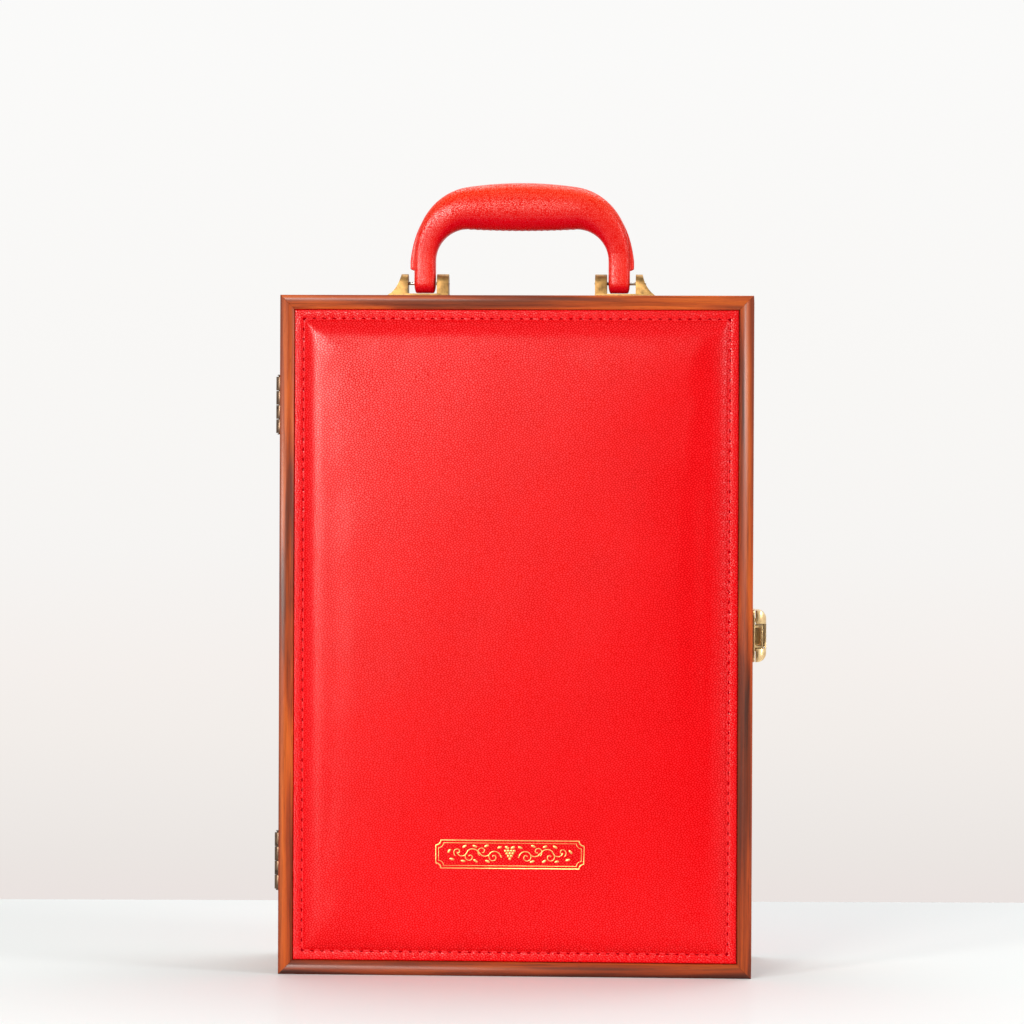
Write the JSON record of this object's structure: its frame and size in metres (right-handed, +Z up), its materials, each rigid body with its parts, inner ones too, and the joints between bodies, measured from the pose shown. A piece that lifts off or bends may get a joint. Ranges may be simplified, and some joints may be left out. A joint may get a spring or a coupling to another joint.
{
  "type": "wine case",
  "caption": "Upright wooden wine case with padded leather panels, side hinges, a side catch and a swivelling leather carrying handle; its tray cradles bottles and a tool well.",
  "frame": {"origin": "middle of the wooden case's foot, on the surface that it stands on", "axes": "+X towards the catch side, -Y the leather front, +Z up"},
  "size_m": [0.2592, 0.1144, 0.4166],
  "materials": {
    "wood": "glossy lacquered orange-brown hardwood with long dark streaks",
    "board": "plain fibreboard",
    "foam": "upholstery foam",
    "red_leather": "bright red pebbled leather, semi-gloss, with a gold foil ornament",
    "handle_leather": "bright red pebbled leather, semi-gloss",
    "lining": "champagne velvet",
    "tray_flock": "champagne flock",
    "dark_bronze": "dark bronze",
    "antique_brass": "brushed antique brass",
    "gold": "polished gold plate",
    "steel": "plain steel"
  },
  "bodies": {
    "base": {"base_top_rail": "wood", "base_bottom_rail": "wood", "base_hinge_rail": "wood", "base_latch_rail": "wood", "back_panel_board": "board", "back_panel_pad": "foam", "back_panel_leather": "red_leather", "base_wall_lining": "lining", "bottle_tray": "tray_flock", "upper_hinge_base_leaf": "dark_bronze", "upper_hinge_pin": "dark_bronze", "lower_hinge_base_leaf": "dark_bronze", "lower_hinge_pin": "dark_bronze", "hinge_base_screws": "dark_bronze", "left_handle_bracket": "antique_brass", "right_handle_bracket": "antique_brass", "left_handle_pin": "steel", "right_handle_pin": "steel", "handle_bracket_screws": "antique_brass", "latch_plate": "gold", "latch_pin": "gold", "latch_screws": "gold"},
    "lid": {"lid_top_rail": "wood", "lid_bottom_rail": "wood", "lid_hinge_rail": "wood", "lid_latch_rail": "wood", "lid_panel_board": "board", "lid_panel_pad": "foam", "lid_panel_leather": "red_leather", "lid_wall_lining": "lining", "lid_lining_pad": "lining", "upper_hinge_lid_leaf": "dark_bronze", "lower_hinge_lid_leaf": "dark_bronze", "hinge_lid_screws": "dark_bronze", "latch_keeper": "gold", "keeper_screws": "gold"},
    "handle": {"handle_cover": "handle_leather", "handle_core": "steel"},
    "lever": {"latch_lever": "gold"}
  },
  "joints": [
    {"name": "lid_hinge", "type": "hinge", "parent": "base", "child": "lid", "pos_m": [-0.1262, -0.024, 0.1775], "axis": [0, 0, -1], "range_deg": [0, 180]},
    {"name": "handle_swivel", "type": "hinge", "parent": "base", "child": "handle", "pos_m": [0, 0, 0.3632], "axis": [1, 0, 0], "range_deg": [-84, 84]},
    {"name": "latch_turn", "type": "hinge", "parent": "base", "child": "lever", "pos_m": [0.1275, -0.012, 0.1775], "axis": [0, 0, 1], "range_deg": [0, 95]}
  ]
}
